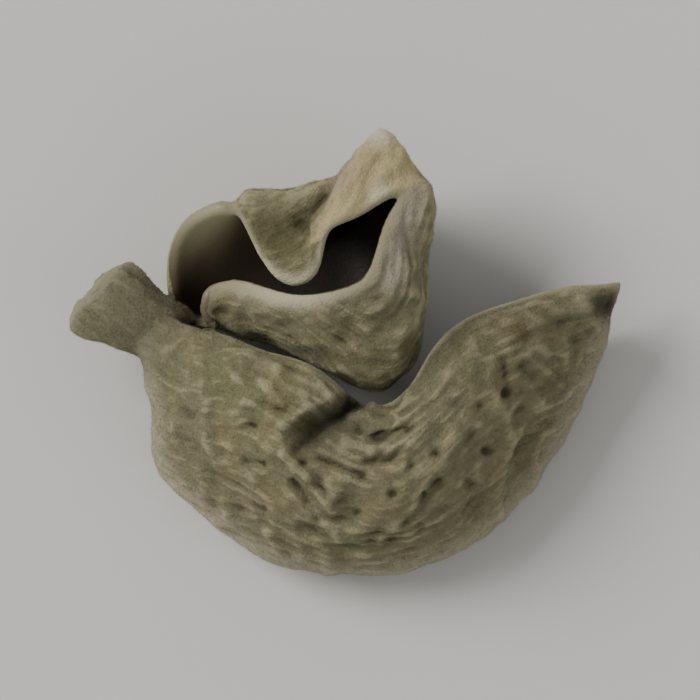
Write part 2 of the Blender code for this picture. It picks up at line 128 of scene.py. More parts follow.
def plain_floor():
    """A matt pale floor under the ear."""
    mesh = bpy.data.meshes.new("floor")
    half = FLOOR_SIDE / 2.0
    low = -FLOOR_DROP * MM
    mesh.from_pydata([(-half, -half, low), (half, -half, low), (half, half, low), (-half, half, low)],
                     [], [(0, 1, 2, 3)])
    paper = bpy.data.materials.new("matt_paper")
    paper.use_nodes = True
    shader = paper.node_tree.nodes["Principled BSDF"]
    shader.inputs["Base Color"].default_value = linear("#e2dfd9")
    shader.inputs["Roughness"].default_value = 0.95
    mesh.materials.append(paper)
    floor = bpy.data.objects.new("floor", mesh)
    bpy.context.scene.collection.objects.link(floor)
    return floor


lamp("key_lamp", KEY_PLACE, KEY_SIZE, KEY_WATTS)
lamp("fill_lamp", FILL_PLACE, FILL_SIZE, FILL_WATTS)
world = bpy.data.worlds.new("world")
world.use_nodes = True
world.node_tree.nodes["Background"].inputs["Color"].default_value = linear("#f2f4f7")
world.node_tree.nodes["Background"].inputs["Strength"].default_value = WORLD_LIGHT
bpy.context.scene.world = world
plain_floor()
print("lamps and floor made")

# %% [markdown]
# The ear could be sculpted, or grown by a cloth simulation, but neither keeps to a measured shape. It is
# lofted instead: sections drawn at real size, like the lines of a boat, and smooth curves through
# them. These are the same sections as in the solid, in millimetres, so the skin lies where the solid lies.

# %% Drawn sections of the front lobe
# Each runs across the lobe: its upper margin, the shoulder, the crest, the belly, the lower belly, the
# outline and the margin that is rolled under. The first is by the foot and the last is the tip.
FRONT_SECTIONS = (
    ((-13.7, 3.3, 7.4), (-14.1, 2.7, 8.4), (-14.7, 1.8, 8.8), (-15.3, 1.0, 8.2),
     (-15.7, 0.4, 7.2), (-15.8, 0.1, 6.0), (-15.0, 0.6, 4.8)),
    ((-11.6, 1.9, 8.2), (-12.2, 0.9, 9.4), (-12.9, -0.5, 9.7), (-13.8, -2.2, 8.7),
     (-14.6, -3.5, 6.6), (-14.9, -4.1, 4.4), (-13.5, -3.3, 2.4)),
    ((-8.8, 1.1, 9.1), (-9.5, -0.1, 10.6), (-10.5, -2.0, 11.0), (-12.1, -4.7, 9.8),
     (-13.6, -7.1, 6.9), (-14.4, -8.3, 3.8), (-12.0, -6.7, 0.8)),
    ((-5.6, 0.3, 9.7), (-6.2, -0.9, 11.5), (-7.1, -3.2, 12.2), (-8.7, -6.8, 11.0),
     (-10.4, -10.1, 7.4), (-11.3, -11.8, 3.6), (-9.1, -9.1, 0.1)),
    ((-2.0, -1.4, 10.6), (-2.4, -3.0, 12.2), (-3.1, -5.8, 12.9), (-4.2, -9.7, 11.5),
     (-5.4, -13.4, 7.8), (-6.1, -15.5, 3.8), (-4.7, -11.6, -0.1)),
    ((1.3, -3.5, 10.2), (1.2, -4.8, 11.5), (1.0, -7.2, 12.4), (0.5, -10.8, 11.4),
     (0.0, -14.6, 7.8), (-0.3, -16.6, 4.0), (-0.2, -12.4, -0.1)),
    ((4.3, -2.6, 10.7), (4.5, -4.0, 12.2), (4.8, -6.5, 12.7), (5.1, -10.3, 11.5),
     (5.4, -13.8, 7.8), (5.6, -15.9, 4.0), (4.5, -11.4, -0.1)),
    ((7.5, 1.4, 10.8), (8.0, 0.2, 12.1), (8.8, -2.4, 12.3), (9.8, -6.4, 10.9),
     (10.9, -10.3, 7.2), (11.6, -12.3, 3.8), (9.1, -8.3, 0.0)),
    ((13.0, 4.1, 9.6), (13.3, 3.0, 10.7), (13.8, 0.8, 10.7), (14.5, -2.2, 9.1),
     (15.2, -5.2, 6.0), (15.7, -6.9, 3.4), (14.0, -2.7, 0.3)),
    ((17.4, 5.0, 8.0), (17.5, 4.2, 8.9), (17.7, 2.8, 8.8), (17.9, 1.1, 7.5),
     (18.1, -0.5, 5.4), (18.2, -1.2, 3.6), (17.8, 1.5, 1.9)),
    ((20.2, 5.4, 6.4), (20.3, 4.9, 6.9), (20.1, 4.2, 6.8), (19.7, 3.3, 6.2),
     (19.5, 2.6, 5.2), (19.5, 2.3, 4.3), (19.5, 3.0, 3.7)),
)
print("front lobe:", len(FRONT_SECTIONS), "sections")

# %% Drawn rings of the rear lobe
# Each ring is drawn round from the side by the foot: along the near wall, up the right one to the peak, and
# back along the far wall, which rolls in over the mouth. The first ring is the mouth's free margin.
CUP_MOUTH = (
    (-13.4, 4.2, 6.2), (-12.3, 2.0, 5.4), (-10.7, 2.5, 8.4), (-10.1, 4.0, 11.0), (-8.4, 4.7, 12.2),
    (-5.3, 4.1, 13.2), (-2.0, 4.0, 13.9), (0.9, 4.7, 14.3), (2.1, 7.2, 14.7), (3.0, 9.8, 14.9),
    (4.1, 11.7, 15.0), (3.2, 11.3, 15.0), (1.9, 10.5, 14.9), (0.3, 9.6, 14.6), (-1.3, 8.9, 14.2),
    (-1.9, 7.4, 13.4), (-2.4, 5.6, 12.6), (-3.8, 4.7, 12.1), (-5.4, 5.1, 11.9), (-6.6, 6.6, 11.9),
    (-7.5, 8.4, 12.1), (-8.3, 10.0, 12.2), (-9.3, 11.2, 11.8), (-11.0, 10.6, 10.6), (-12.6, 9.1, 9.0),
    (-13.6, 6.7, 7.6))
CUP_SHOULDER = (
    (-13.3, 4.0, 5.2), (-12.3, 1.8, 4.6), (-11.0, 1.9, 7.2), (-10.4, 2.8, 9.6), (-8.4, 3.2, 11.0),
    (-5.3, 2.6, 12.0), (-1.8, 2.0, 12.4), (2.2, 2.6, 12.6), (4.3, 5.6, 13.4), (5.0, 8.8, 13.8),
    (5.9, 11.2, 14.0), (4.2, 14.2, 14.3), (2.4, 16.5, 14.6), (0.5, 14.6, 14.7), (-1.0, 12.7, 14.7),
    (-2.6, 12.1, 14.2), (-3.8, 11.9, 13.8), (-4.8, 11.8, 13.4), (-5.6, 11.7, 13.1), (-6.4, 11.7, 12.8),
    (-7.2, 11.6, 12.5), (-8.0, 11.4, 12.0), (-9.0, 10.8, 10.6), (-10.6, 9.9, 9.2), (-12.0, 8.5, 7.8),
    (-13.0, 6.3, 6.5))
CUP_WALL = (
    (-12.4, 3.7, 3.4), (-11.7, 1.8, 3.3), (-10.7, 1.6, 4.9), (-9.7, 1.5, 6.4), (-7.9, 1.2, 7.2),
    (-4.9, 0.4, 7.8), (-1.2, -1.9, 7.6), (3.0, -2.6, 7.6), (5.4, 1.2, 8.2), (5.4, 5.2, 8.8),
    (5.2, 9.6, 9.6), (4.2, 12.6, 10.4), (2.4, 14.6, 10.8), (0.8, 13.4, 10.7), (-0.9, 12.3, 10.2),
    (-2.4, 11.8, 9.7), (-3.5, 11.5, 9.2), (-4.5, 11.3, 8.8), (-5.4, 11.2, 8.4), (-6.2, 11.1, 7.9),
    (-7.0, 10.8, 7.4), (-7.8, 10.2, 6.8), (-8.6, 9.4, 6.2), (-9.6, 8.2, 5.4), (-10.8, 7.0, 4.7),
    (-11.9, 5.4, 4.0))
CUP_LOW = (
    (-10.3, 3.8, 1.9), (-9.8, 2.8, 2.0), (-8.9, 2.2, 2.3), (-8.1, 1.8, 2.6), (-6.8, 1.4, 2.8),
    (-4.4, 0.8, 2.9), (-1.2, -0.2, 2.8), (2.6, -0.4, 2.9), (4.6, 2.6, 3.1), (4.6, 5.6, 3.3),
    (4.2, 8.6, 3.5), (3.4, 10.8, 3.8), (2.0, 12.0, 4.0), (0.6, 11.8, 3.8), (-0.8, 11.3, 3.6),
    (-2.0, 10.9, 3.3), (-3.0, 10.6, 3.1), (-3.9, 10.3, 3.0), (-4.7, 10.0, 2.9), (-5.5, 9.6, 2.8),
    (-6.2, 9.2, 2.6), (-6.9, 8.7, 2.5), (-7.5, 8.1, 2.3), (-8.3, 7.2, 2.1), (-9.1, 6.1, 2.0),
    (-9.8, 4.9, 1.9))
CUP_CENTRE = (-3.5, 5.4)
CUP_FLOOR_SCALE = 0.55
CUP_FLOOR_HEIGHT = 0.5
CUP_POLE_SCALE = 0.03
CUP_POLE_HEIGHT = 0.35
print("rear lobe:", len(CUP_MOUTH), "points round each ring")

# %% Drawn sections of the foot
# Where each section of the cut foot is, its half width and its half thickness
FOOT_SECTIONS = (
    ((-12.6, 1.0, 5.4), 2.0, 1.2),
    ((-14.2, 1.6, 6.5), 2.5, 1.7),
    ((-15.9, 2.4, 7.1), 2.7, 1.7),
    ((-17.4, 3.3, 7.4), 3.2, 1.5),
    ((-18.5, 4.0, 7.5), 3.4, 1.3),
)
FOOT_CUT_DIRECTION = (-0.74, 0.67, 0.08)
FOOT_ALONG = 40
FOOT_ROUND = 120
FOOT_PLEATS = 7
FOOT_PLEAT = 0.05
print("foot:", len(FOOT_SECTIONS), "sections")

# %% [markdown]
# A cubic spline bends least between the drawn points, as a boat builder's batten does. The grid of points
# that it gives is crowded towards the margins, so that a margin one millimetre thick can still be round.

# %% Curves, lengths and normals
CROWDING = 0.8
LEAST_SPAN = 0.05


def smooth_curve(points, places, closed=False):
    """A cubic spline through evenly numbered points, read at places between 0 and 1."""
    points = np.asarray(points, float)
    count = len(points)
    spans = count if closed else count - 1
    system = np.zeros((count, count))
    right = np.zeros(points.shape)
    for i in range(count):
        before, after = i - 1, (i + 1) % count
        if not closed and i in (0, count - 1):
            system[i, i] = 1.0
            continue
        system[i, before] += 1.0
        system[i, i] += 4.0
        system[i, after] += 1.0
        right[i] = 6.0 * (points[after] - 2.0 * points[i] + points[before])
    bend = np.linalg.solve(system, right.reshape(count, -1)).reshape(points.shape)
    read = np.asarray(places) * spans
    start = np.clip(np.floor(read).astype(int), 0, spans - 1)
    step = (read - start).reshape((-1,) + (1,) * (points.ndim - 1))
    end = (start + 1) % count
    rest = 1.0 - step
    return (rest * points[start] + step * points[end]
            + ((rest ** 3 - rest) * bend[start] + (step ** 3 - step) * bend[end]) / 6.0)


def curve_by_length(points, places):
    """A natural cubic spline down each column, numbered by its real length, read at places 0 to 1."""
    points = np.asarray(points, float)
    count = len(points)
    spans = np.maximum(np.linalg.norm(np.diff(points, axis=0), axis=2), LEAST_SPAN)
    knots = np.concatenate([np.zeros((1, points.shape[1])), np.cumsum(spans, axis=0)])
    system = np.zeros((points.shape[1], count, count))
    system[:, 0, 0] = system[:, -1, -1] = 1.0
    right = np.zeros((points.shape[1], count, 3))
    for i in range(1, count - 1):
        before, after = spans[i - 1], spans[i]
        system[:, i, i - 1] = before
        system[:, i, i] = 2.0 * (before + after)
        system[:, i, i + 1] = after
        right[:, i] = 6.0 * ((points[i + 1] - points[i]) / after[:, None]
                             - (points[i] - points[i - 1]) / before[:, None])
    bend = np.swapaxes(np.linalg.solve(system, right), 0, 1)
    read = np.asarray(places)[:, None] * knots[-1]
    start = (read[:, None] >= knots[None, 1:-1]).sum(axis=1)
    column = np.arange(points.shape[1])
    span = spans[start, column]
    step = ((read - knots[start, column]) / span)[..., None]
    rest = 1.0 - step
    return (rest * points[start, column] + step * points[start + 1, column]
            + ((rest ** 3 - rest) * bend[start, column] + (step ** 3 - step) * bend[start + 1, column])
            * (span ** 2)[..., None] / 6.0)


def crowded(count):
    """Places from 0 to 1 that crowd towards both ends, so that a margin can be round."""
    even = np.linspace(0.0, 1.0, count)
    return even + CROWDING * (0.5 - 0.5 * np.cos(math.pi * even) - even)


def crowded_at_end(count):
    """Places from 0 to 1 that crowd towards 1."""
    even = np.linspace(0.0, 1.0, count)
    return even + CROWDING * (np.sin(0.5 * math.pi * even) - even)


def run_lengths(grid, axis):
    """The length along the sheet from its first row or column to each point."""
    steps = np.linalg.norm(np.diff(grid, axis=axis), axis=2)
    start = np.zeros_like(np.take(steps, [0], axis=axis))
    return np.concatenate([start, np.cumsum(steps, axis=axis)], axis=axis)


def eased(grid, passes, closed):
    """The grid with each value drawn towards its neighbours."""
    for _ in range(passes):
        padded = np.concatenate([grid[:1], grid, grid[-1:]])
        grid = 0.25 * padded[:-2] + 0.5 * padded[1:-1] + 0.25 * padded[2:]
        if closed:
            padded = np.concatenate([grid[:, -1:], grid, grid[:, :1]], axis=1)
        else:
            padded = np.concatenate([grid[:, :1], grid, grid[:, -1:]], axis=1)
        grid = 0.25 * padded[:, :-2] + 0.5 * padded[:, 1:-1] + 0.25 * padded[:, 2:]
    return grid


def unit(vectors):
    """The same directions, one long."""
    return vectors / np.maximum(np.linalg.norm(vectors, axis=-1, keepdims=True), 1e-9)


def fade(distance, reach):
    """1 at the margin, falling smoothly to 0 at the given reach."""
    x = np.clip(distance / reach, 0.0, 1.0)
    return 1.0 - x * x * (3.0 - 2.0 * x)


print("curve helpers ready")

# %% [markdown]
# Drying shrinks the jelly and wrinkles it. A fold with a sharp crest is one minus the size of a smooth noise:
# where the noise crosses zero there is a ridge. Two sizes of fold are mixed. The same noise is in the solid,
# so its larger wrinkles and the ones here are the same wrinkles.

# %% Noise and wrinkles
WRINKLE_LENGTH = 3.4


def noise_at(points, length, seed):
    """Smooth noise, about -1 to 1, with features of the given length."""
    flat = points.reshape(-1, 3) / length + seed
    values = [noise.noise(Vector(point)) for point in flat]
    return np.array(values).reshape(points.shape[:-1])


def folds(points, length, seed):
    """Sharp crested folds, about 0 to 1."""
    return 1.0 - np.abs(noise_at(points, length, seed)) * 2.2


def wrinkles(points, seed):
    """The ear's larger wrinkles, about 0 to 1."""
    swirl = noise_at(points, WRINKLE_LENGTH * 2.4, seed + 7.0)[..., None]
    bent = points + swirl * np.array((1.6, -1.1, 0.7))
    return 0.65 * folds(bent, WRINKLE_LENGTH, seed) + 0.35 * folds(bent, WRINKLE_LENGTH * 0.52, seed + 3.0)


print("noise helpers ready")

# %% [markdown]
# The sections are the outer, felted face. Half the sheet's thickness inwards is its middle, and each face is
# then set off from the middle: the outer one with wrinkles, the inner one smooth. Towards a free margin both
# come together in a round lip, and the margin waves a little.

# %% The two faces of the sheet
SHEET = 1.05
FOOT_SHEET = 2.0
FOOT_SHEET_REACH = 6.0
MARGIN_WAVE = 0.9
MARGIN_WAVE_LENGTH = 6.5
MARGIN_WAVE_REACH = 4.0
TIP_CALM = 6.0
WRINKLE_HEIGHT = 0.62
WRINKLE_VALLEY = 0.42
WRINKLE_MARGIN = 2.2
SIDE_CALM = 0.45
TOP_SLOPE = 0.6
LIP_ROUND = 1.15
LIP_LEAST = 0.0025
NORMAL_EASING = 14


def sheet_normals(grid, outside, closed=False):
    """Unit normals of a grid, eased over tight curls and turned to the outer face by one of them."""
    across = np.gradient(grid, axis=0)
    if closed:
        along = np.roll(grid, -1, axis=1) - np.roll(grid, 1, axis=1)
    else:
        along = np.gradient(grid, axis=1)
    normals = unit(eased(unit(np.cross(across, along)), NORMAL_EASING, closed))
    row, column, height = outside
    return normals * np.sign(normals[row, column, 2] * height)


def half_thickness(distance, thickness):
    """Half the sheet's thickness, rounded off towards the margin."""
    half = 0.5 * thickness
    inward = np.clip(distance / (LIP_ROUND * half), 0.0, 1.0)
    return half * np.sqrt(np.maximum(1.0 - (1.0 - inward) ** 2, LIP_LEAST))


def two_faces(middle, normals, half, margin, seed):
    """The outer, wrinkled face and the inner, smooth one."""
    relief = WRINKLE_HEIGHT * (wrinkles(middle, seed) - WRINKLE_VALLEY) * (1.0 - fade(margin, WRINKLE_MARGIN))
    relief *= SIDE_CALM + (1.0 - SIDE_CALM) * np.clip(normals[..., 2] / TOP_SLOPE, 0.0, 1.0)
    outer = middle + normals * (half + relief * (half / (0.5 * SHEET)).clip(0.0, 1.0))[..., None]
    return outer, middle - normals * half[..., None]


print("sheet", SHEET, "mm thick")

# %% [markdown]
# One deep crease runs into the belly from the notch in the upper margin. Its side by the foot slopes down to
# the bottom of the crease, and the other side rises steeply. On the rear lobe the flap below the peak stands
# over the tongue beside it, with a step between them.

# %% The crease and the step
NOTCH = (0.4, -3.9)
CREASE_END = (-4.3, -7.6)
CREASE_DEPTH = 3.2
CREASE_FACET = (1.3, 2.3)
CREASE_BEND = 1.1
CREASE_RISE = 0.7


def crease_share(points):
    """How deep in the crease each point is, 0 to 1."""
    start, end = np.array(NOTCH), np.array(CREASE_END)
    length = np.linalg.norm(end - start)
    run = (end - start) / length
    place = points[..., :2] - start
    along = np.clip(place @ run / length, 0.0, 1.0)
    away = place @ np.array((-run[1], run[0]))
    facet = CREASE_FACET[0] + (CREASE_FACET[1] - CREASE_FACET[0]) * along
    down = np.clip(1.0 + away / facet, 0.0, 1.0) ** CREASE_BEND
    up = np.exp(-np.maximum(away, 0.0) / CREASE_RISE)
    return down * up * (1.0 - along ** 3)


def crease(points):
    """How far the crease moves each point of the front lobe."""
    move = np.zeros(points.shape)
    move[..., 2] = -CREASE_DEPTH * crease_share(points)
    return move


FLAP_TOP = (0.9, 15.6)
FLAP_END = (-2.5, 8.9)
FLAP_STEP = 1.0
FLAP_STEP_EDGE = 0.5
FLAP_STEP_REACH = 2.4
FLAP_LEVEL = (12.2, 13.4)


def flap_step(points):
    """How far each point of the rear lobe sinks beside the flap."""
    start, end = np.array(FLAP_TOP), np.array(FLAP_END)
    length = np.linalg.norm(end - start)
    run = (end - start) / length
    place = points[..., :2] - start
    along = place @ run / length
    away = place @ np.array((run[1], -run[0]))
    ends = (1.0 - fade(along, 0.2)) * (1.0 - fade(1.15 - along, 0.15))
    step = (1.0 - fade(away, FLAP_STEP_EDGE)) * fade(away - FLAP_STEP_EDGE, FLAP_STEP_REACH)
    above = 1.0 - fade(points[..., 2] - FLAP_LEVEL[0], FLAP_LEVEL[1] - FLAP_LEVEL[0])
    move = np.zeros(points.shape)
    move[..., 2] = -FLAP_STEP * step * ends * above
    return move


print("crease", round(math.dist(NOTCH, CREASE_END), 1), "mm long")

# %% [markdown]
# Every point of a sheet keeps a few facts that the finish needs later: whether it is on the felted face, how
# far it is from the free margin, and its place along and across the lobe, in millimetres. The cut end of the
# foot has a fact of its own.

# %% Front lobe
FRONT_ACROSS = 190
FRONT_ALONG = 250
NECK_LIP = 3.0
NECK_REACH = 9.0
FACTS = ("felt", "margin", "along", "across", "cut", "lobe")


def facts(felt, margin, along, across, cut, lobe):
    """The facts of each point of a face, one row for each point."""
    columns = [np.broadcast_to(np.asarray(value, float), margin.shape).reshape(-1)
               for value in (felt, margin, along, across, cut, lobe)]
    return np.stack(columns, axis=1)


def front_lobe():
    """Both faces of the front lobe, and the facts of their points."""
    sections = np.array(FRONT_SECTIONS)
    lines = np.swapaxes(smooth_curve(sections, crowded(FRONT_ALONG)), 0, 1)
    grid = curve_by_length(lines, crowded(FRONT_ACROSS))
    from_top = run_lengths(grid, 0)
    from_foot = run_lengths(grid, 1)
    to_tip = from_foot[:, -1:] - from_foot
    margin = np.minimum(np.minimum(from_top, from_top[-1] - from_top), to_tip)
    outside = (FRONT_ACROSS // 3, FRONT_ALONG // 2, 1.0)
    top_face = np.clip(sheet_normals(grid, outside)[..., 2], 0.0, 1.0)
    grid += crease(grid) * (top_face ** 0.5)[..., None]
    wave = noise_at(grid, MARGIN_WAVE_LENGTH, 11.0) * MARGIN_WAVE * (1.0 - fade(to_tip, TIP_CALM))
    grid += sheet_normals(grid, outside) * (wave * fade(margin, MARGIN_WAVE_REACH))[..., None]
    normals = sheet_normals(grid, outside)
    thickness = SHEET + (FOOT_SHEET - SHEET) * fade(from_foot, FOOT_SHEET_REACH)
    middle = grid - normals * (0.5 * thickness)[..., None]
    half = half_thickness(np.minimum(margin, from_foot + 1.0), thickness)
    outer, inner = two_faces(middle, normals, half, margin, 2.0)
    lip_distance = margin + NECK_LIP * fade(from_foot, NECK_REACH)
    known = [facts(felt, lip_distance, from_foot, from_top, 0.0, 0.0) for felt in (1.0, 0.0)]
    return outer, inner, np.concatenate(known)


front_outer, front_inner, front_facts = front_lobe()
print("front lobe:", front_outer.shape[0] * front_outer.shape[1], "points on each face")

# %% Rear lobe
CUP_ACROSS = 100
CUP_AROUND = 300


def rear_lobe():
    """Both faces of the cup, and the facts of their points."""
    def drawn_in(scale, height):
        return [(CUP_CENTRE[0] + (x - CUP_CENTRE[0]) * scale,
                 CUP_CENTRE[1] + (y - CUP_CENTRE[1]) * scale, height) for x, y, _ in CUP_LOW]
    pole = drawn_in(CUP_POLE_SCALE, CUP_POLE_HEIGHT)
    floor = drawn_in(CUP_FLOOR_SCALE, CUP_FLOOR_HEIGHT)
    rings = np.array((pole, floor, CUP_LOW, CUP_WALL, CUP_SHOULDER, CUP_MOUTH))
    around = np.linspace(0.0, 1.0, CUP_AROUND, endpoint=False)
    lines = np.swapaxes(smooth_curve(np.swapaxes(rings, 0, 1), around, closed=True), 0, 1)
    grid = curve_by_length(lines, crowded_at_end(CUP_ACROSS))
    climbed = run_lengths(grid, 0)
    margin = climbed[-1] - climbed
    outside = (2, 0, -1.0)
    grid += flap_step(grid)
    wave = noise_at(grid, MARGIN_WAVE_LENGTH, 29.0) * MARGIN_WAVE
    grid += sheet_normals(grid, outside, closed=True) * (wave * fade(margin, MARGIN_WAVE_REACH))[..., None]
    normals = sheet_normals(grid, outside, closed=True)
    middle = grid - normals * 0.5 * SHEET
    outer, inner = two_faces(middle, normals, half_thickness(margin, SHEET), margin, 17.0)
    walked = run_lengths(grid, 1)
    known = [facts(felt, margin, walked, climbed, 0.0, 1.0) for felt in (1.0, 0.0)]
    return outer, inner, np.concatenate(known)


rear_outer, rear_inner, rear_facts = rear_lobe()
print("rear lobe:", rear_outer.shape[0] * rear_outer.shape[1], "points on each face")

# %% Cut foot
CUT_CAPS = ((0.82, 0.55), (0.45, 0.95))
FOOT_ROUGH = 0.35
FOOT_ROUGH_LENGTH = 1.8


def foot():
    """The cut foot as rings of points, and the facts of its points."""
    places = np.linspace(0.0, 1.0, FOOT_ALONG)
    centres = smooth_curve([section[0] for section in FOOT_SECTIONS], places)
    halves = smooth_curve([section[1:] for section in FOOT_SECTIONS], places)
    direction = unit(np.array(FOOT_CUT_DIRECTION))
    wide = unit(np.cross(direction, (0.0, 0.0, 1.0)))
    thick = np.cross(wide, direction)
    turn = np.linspace(0.0, 2.0 * math.pi, FOOT_ROUND, endpoint=False)
    pleat = 1.0 + FOOT_PLEAT * np.cos(FOOT_PLEATS * turn)
    rings = (centres[:, None] + (pleat * np.cos(turn))[None, :, None] * halves[:, None, :1] * wide
             + (pleat * np.sin(turn))[None, :, None] * halves[:, None, 1:] * thick)
    # The cut bulges a little, because the middle of the foot tore last
    caps = [centres[-1] + (rings[-1] - centres[-1]) * grow + direction * out for grow, out in CUT_CAPS]
    rings = np.concatenate([rings, caps])
    rings += direction * (noise_at(rings, FOOT_ROUGH_LENGTH, 41.0) * FOOT_ROUGH)[..., None]
    cut = np.zeros(rings.shape[:2])
    cut[FOOT_ALONG:] = 1.0
    along = run_lengths(rings, 0) - 6.0
    across = run_lengths(rings, 1)
    return rings, facts(1.0, np.full(cut.shape, 9.0), along, across, cut, 0.0)


foot_rings, foot_facts = foot()
print("foot:", foot_rings.shape[0], "rings")

# %% [markdown]
# The three shapes grew as one, so they are fused: a voxel remesh wraps one closed skin round all of them.
# The voxel is a fifth of the sheet's thickness, which keeps the lips round and the skin under the limit of
# triangles. A Boolean union would keep the drawn grid, but it leaves a sharp seam where the lobes meet.

# %% One closed skin
FUSE_VOXEL = 0.24
FUSE_SMOOTHING = 3


def grid_faces(rows, columns, first=0, closed=False):
    """Four-sided faces between the points of a grid."""
    i, j = np.meshgrid(np.arange(rows - 1), np.arange(columns if closed else columns - 1), indexing="ij")
    after = (j + 1) % columns
    corners = np.stack([i * columns + j, i * columns + after, (i + 1) * columns + after, (i + 1) * columns + j])
    return (corners.reshape(4, -1).T + first).tolist()


def shell_faces(rows, columns):
    """Faces of a sheet's two faces and of the lip round all four sides."""
    half = rows * columns
    faces = grid_faces(rows, columns)
    faces += [face[::-1] for face in grid_faces(rows, columns, half)]
    rim = [(0, j) for j in range(columns)]
    rim += [(i, columns - 1) for i in range(1, rows)]
    rim += [(rows - 1, j) for j in range(columns - 2, -1, -1)]
    rim += [(i, 0) for i in range(rows - 2, 0, -1)]
    ids = [i * columns + j for i, j in rim]
    return faces + [(b, a, half + a, half + b) for a, b in zip(ids, ids[1:] + ids[:1])]


def lathe_faces(rows, columns):
    """Faces round closed rings, with a cap on the first ring and on the last."""
    caps = [tuple(range(columns - 1, -1, -1)), tuple(range((rows - 1) * columns, rows * columns))]
    return grid_faces(rows, columns, closed=True) + caps


def closed_mesh(points, faces, name):
    """A closed mesh whose faces point out."""
    mesh = bpy.data.meshes.new(name)
    mesh.from_pydata([tuple(point) for point in points], [], faces)
    mesh.validate()
    piece = bmesh.new()
    piece.from_mesh(mesh)
    bmesh.ops.recalc_face_normals(piece, faces=piece.faces)
    if piece.calc_volume(signed=True) < 0.0:
        bmesh.ops.reverse_faces(piece, faces=piece.faces)
    piece.to_mesh(mesh)
    piece.free()
    return mesh


def fused(meshes):
    """One closed skin round all the shapes."""
    joined = bmesh.new()
    for mesh in meshes:
        joined.from_mesh(mesh)
    together = bpy.data.meshes.new("sheets")
    joined.to_mesh(together)
    joined.free()
    holder = bpy.data.objects.new("sheets", together)
    bpy.context.scene.collection.objects.link(holder)
    remesh = holder.modifiers.new("fuse", "REMESH")
    remesh.mode = "VOXEL"
    remesh.voxel_size = FUSE_VOXEL
    smooth = holder.modifiers.new("weathering", "SMOOTH")
    smooth.factor = 0.5
    smooth.iterations = FUSE_SMOOTHING
    graph = bpy.context.evaluated_depsgraph_get()
    skin = bpy.data.meshes.new_from_object(holder.evaluated_get(graph))
    bpy.data.objects.remove(holder)
    return skin


front_points = np.concatenate([front_outer.reshape(-1, 3), front_inner.reshape(-1, 3)])
rear_points = np.concatenate([rear_outer.reshape(-1, 3), rear_inner.reshape(-1, 3)])
foot_points = foot_rings.reshape(-1, 3)
rear_loops = np.concatenate([rear_outer, rear_inner[::-1]])
skin_mesh = fused([
    closed_mesh(front_points, shell_faces(*front_outer.shape[:2]), "front_lobe"),
    closed_mesh(rear_loops.reshape(-1, 3), lathe_faces(*rear_loops.shape[:2]), "rear_lobe"),
    closed_mesh(foot_points, lathe_faces(*foot_rings.shape[:2]), "foot")])
print("fused skin:", len(skin_mesh.polygons), "faces")

# %% [markdown]
# The remesh forgets the facts, so each point of the skin takes them back from the nearest points of the
# sheets. A mean over four neighbours keeps them smooth.

# %% Give the skin its facts back
NEIGHBOURS = 4


def positions(mesh):
    """The points of a mesh, one row each."""
    flat = np.empty(len(mesh.vertices) * 3, np.float32)
    mesh.vertices.foreach_get("co", flat)
    return flat.reshape(-1, 3).astype(float)


def normals_of(mesh):
    """The normals at the points of a mesh, one row each."""
    flat = np.empty(len(mesh.vertices) * 3, np.float32)
    mesh.vertex_normals.foreach_get("vector", flat)
    return flat.reshape(-1, 3).astype(float)


def facts_at(points, known_points, known_facts):
    """The facts at each point, as a mean over the nearest known points."""
    tree = kdtree.KDTree(len(known_points))
    for index, point in enumerate(known_points):
        tree.insert(point, index)
    tree.balance()
    found = np.empty((len(points), NEIGHBOURS), int)
    weight = np.empty((len(points), NEIGHBOURS))
    for row, point in enumerate(points):
        for column, (_, index, distance) in enumerate(tree.find_n(point, NEIGHBOURS)):
            found[row, column] = index
            weight[row, column] = 1.0 / (distance + 0.02)
    weight /= weight.sum(axis=1, keepdims=True)
    return (known_facts[found] * weight[..., None]).sum(axis=1)


known_points = np.concatenate([front_points, rear_points, foot_points])
known_facts = np.concatenate([front_facts, rear_facts, foot_facts])
skin_points = positions(skin_mesh)
skin_facts = facts_at(skin_points, known_points, known_facts)
fact = {name: skin_facts[:, column] for column, name in enumerate(FACTS)}
print("facts for", len(skin_points), "points")

# %% [markdown]
# The finer relief goes on after the fusing, where it stays crisp. There are fine folds that run with the
# growth of the lobe, soft dimples, a few strokes and ridges that stand where the real ear has them, and
# small pits. All of it is on the felted face and dies out at the margins.

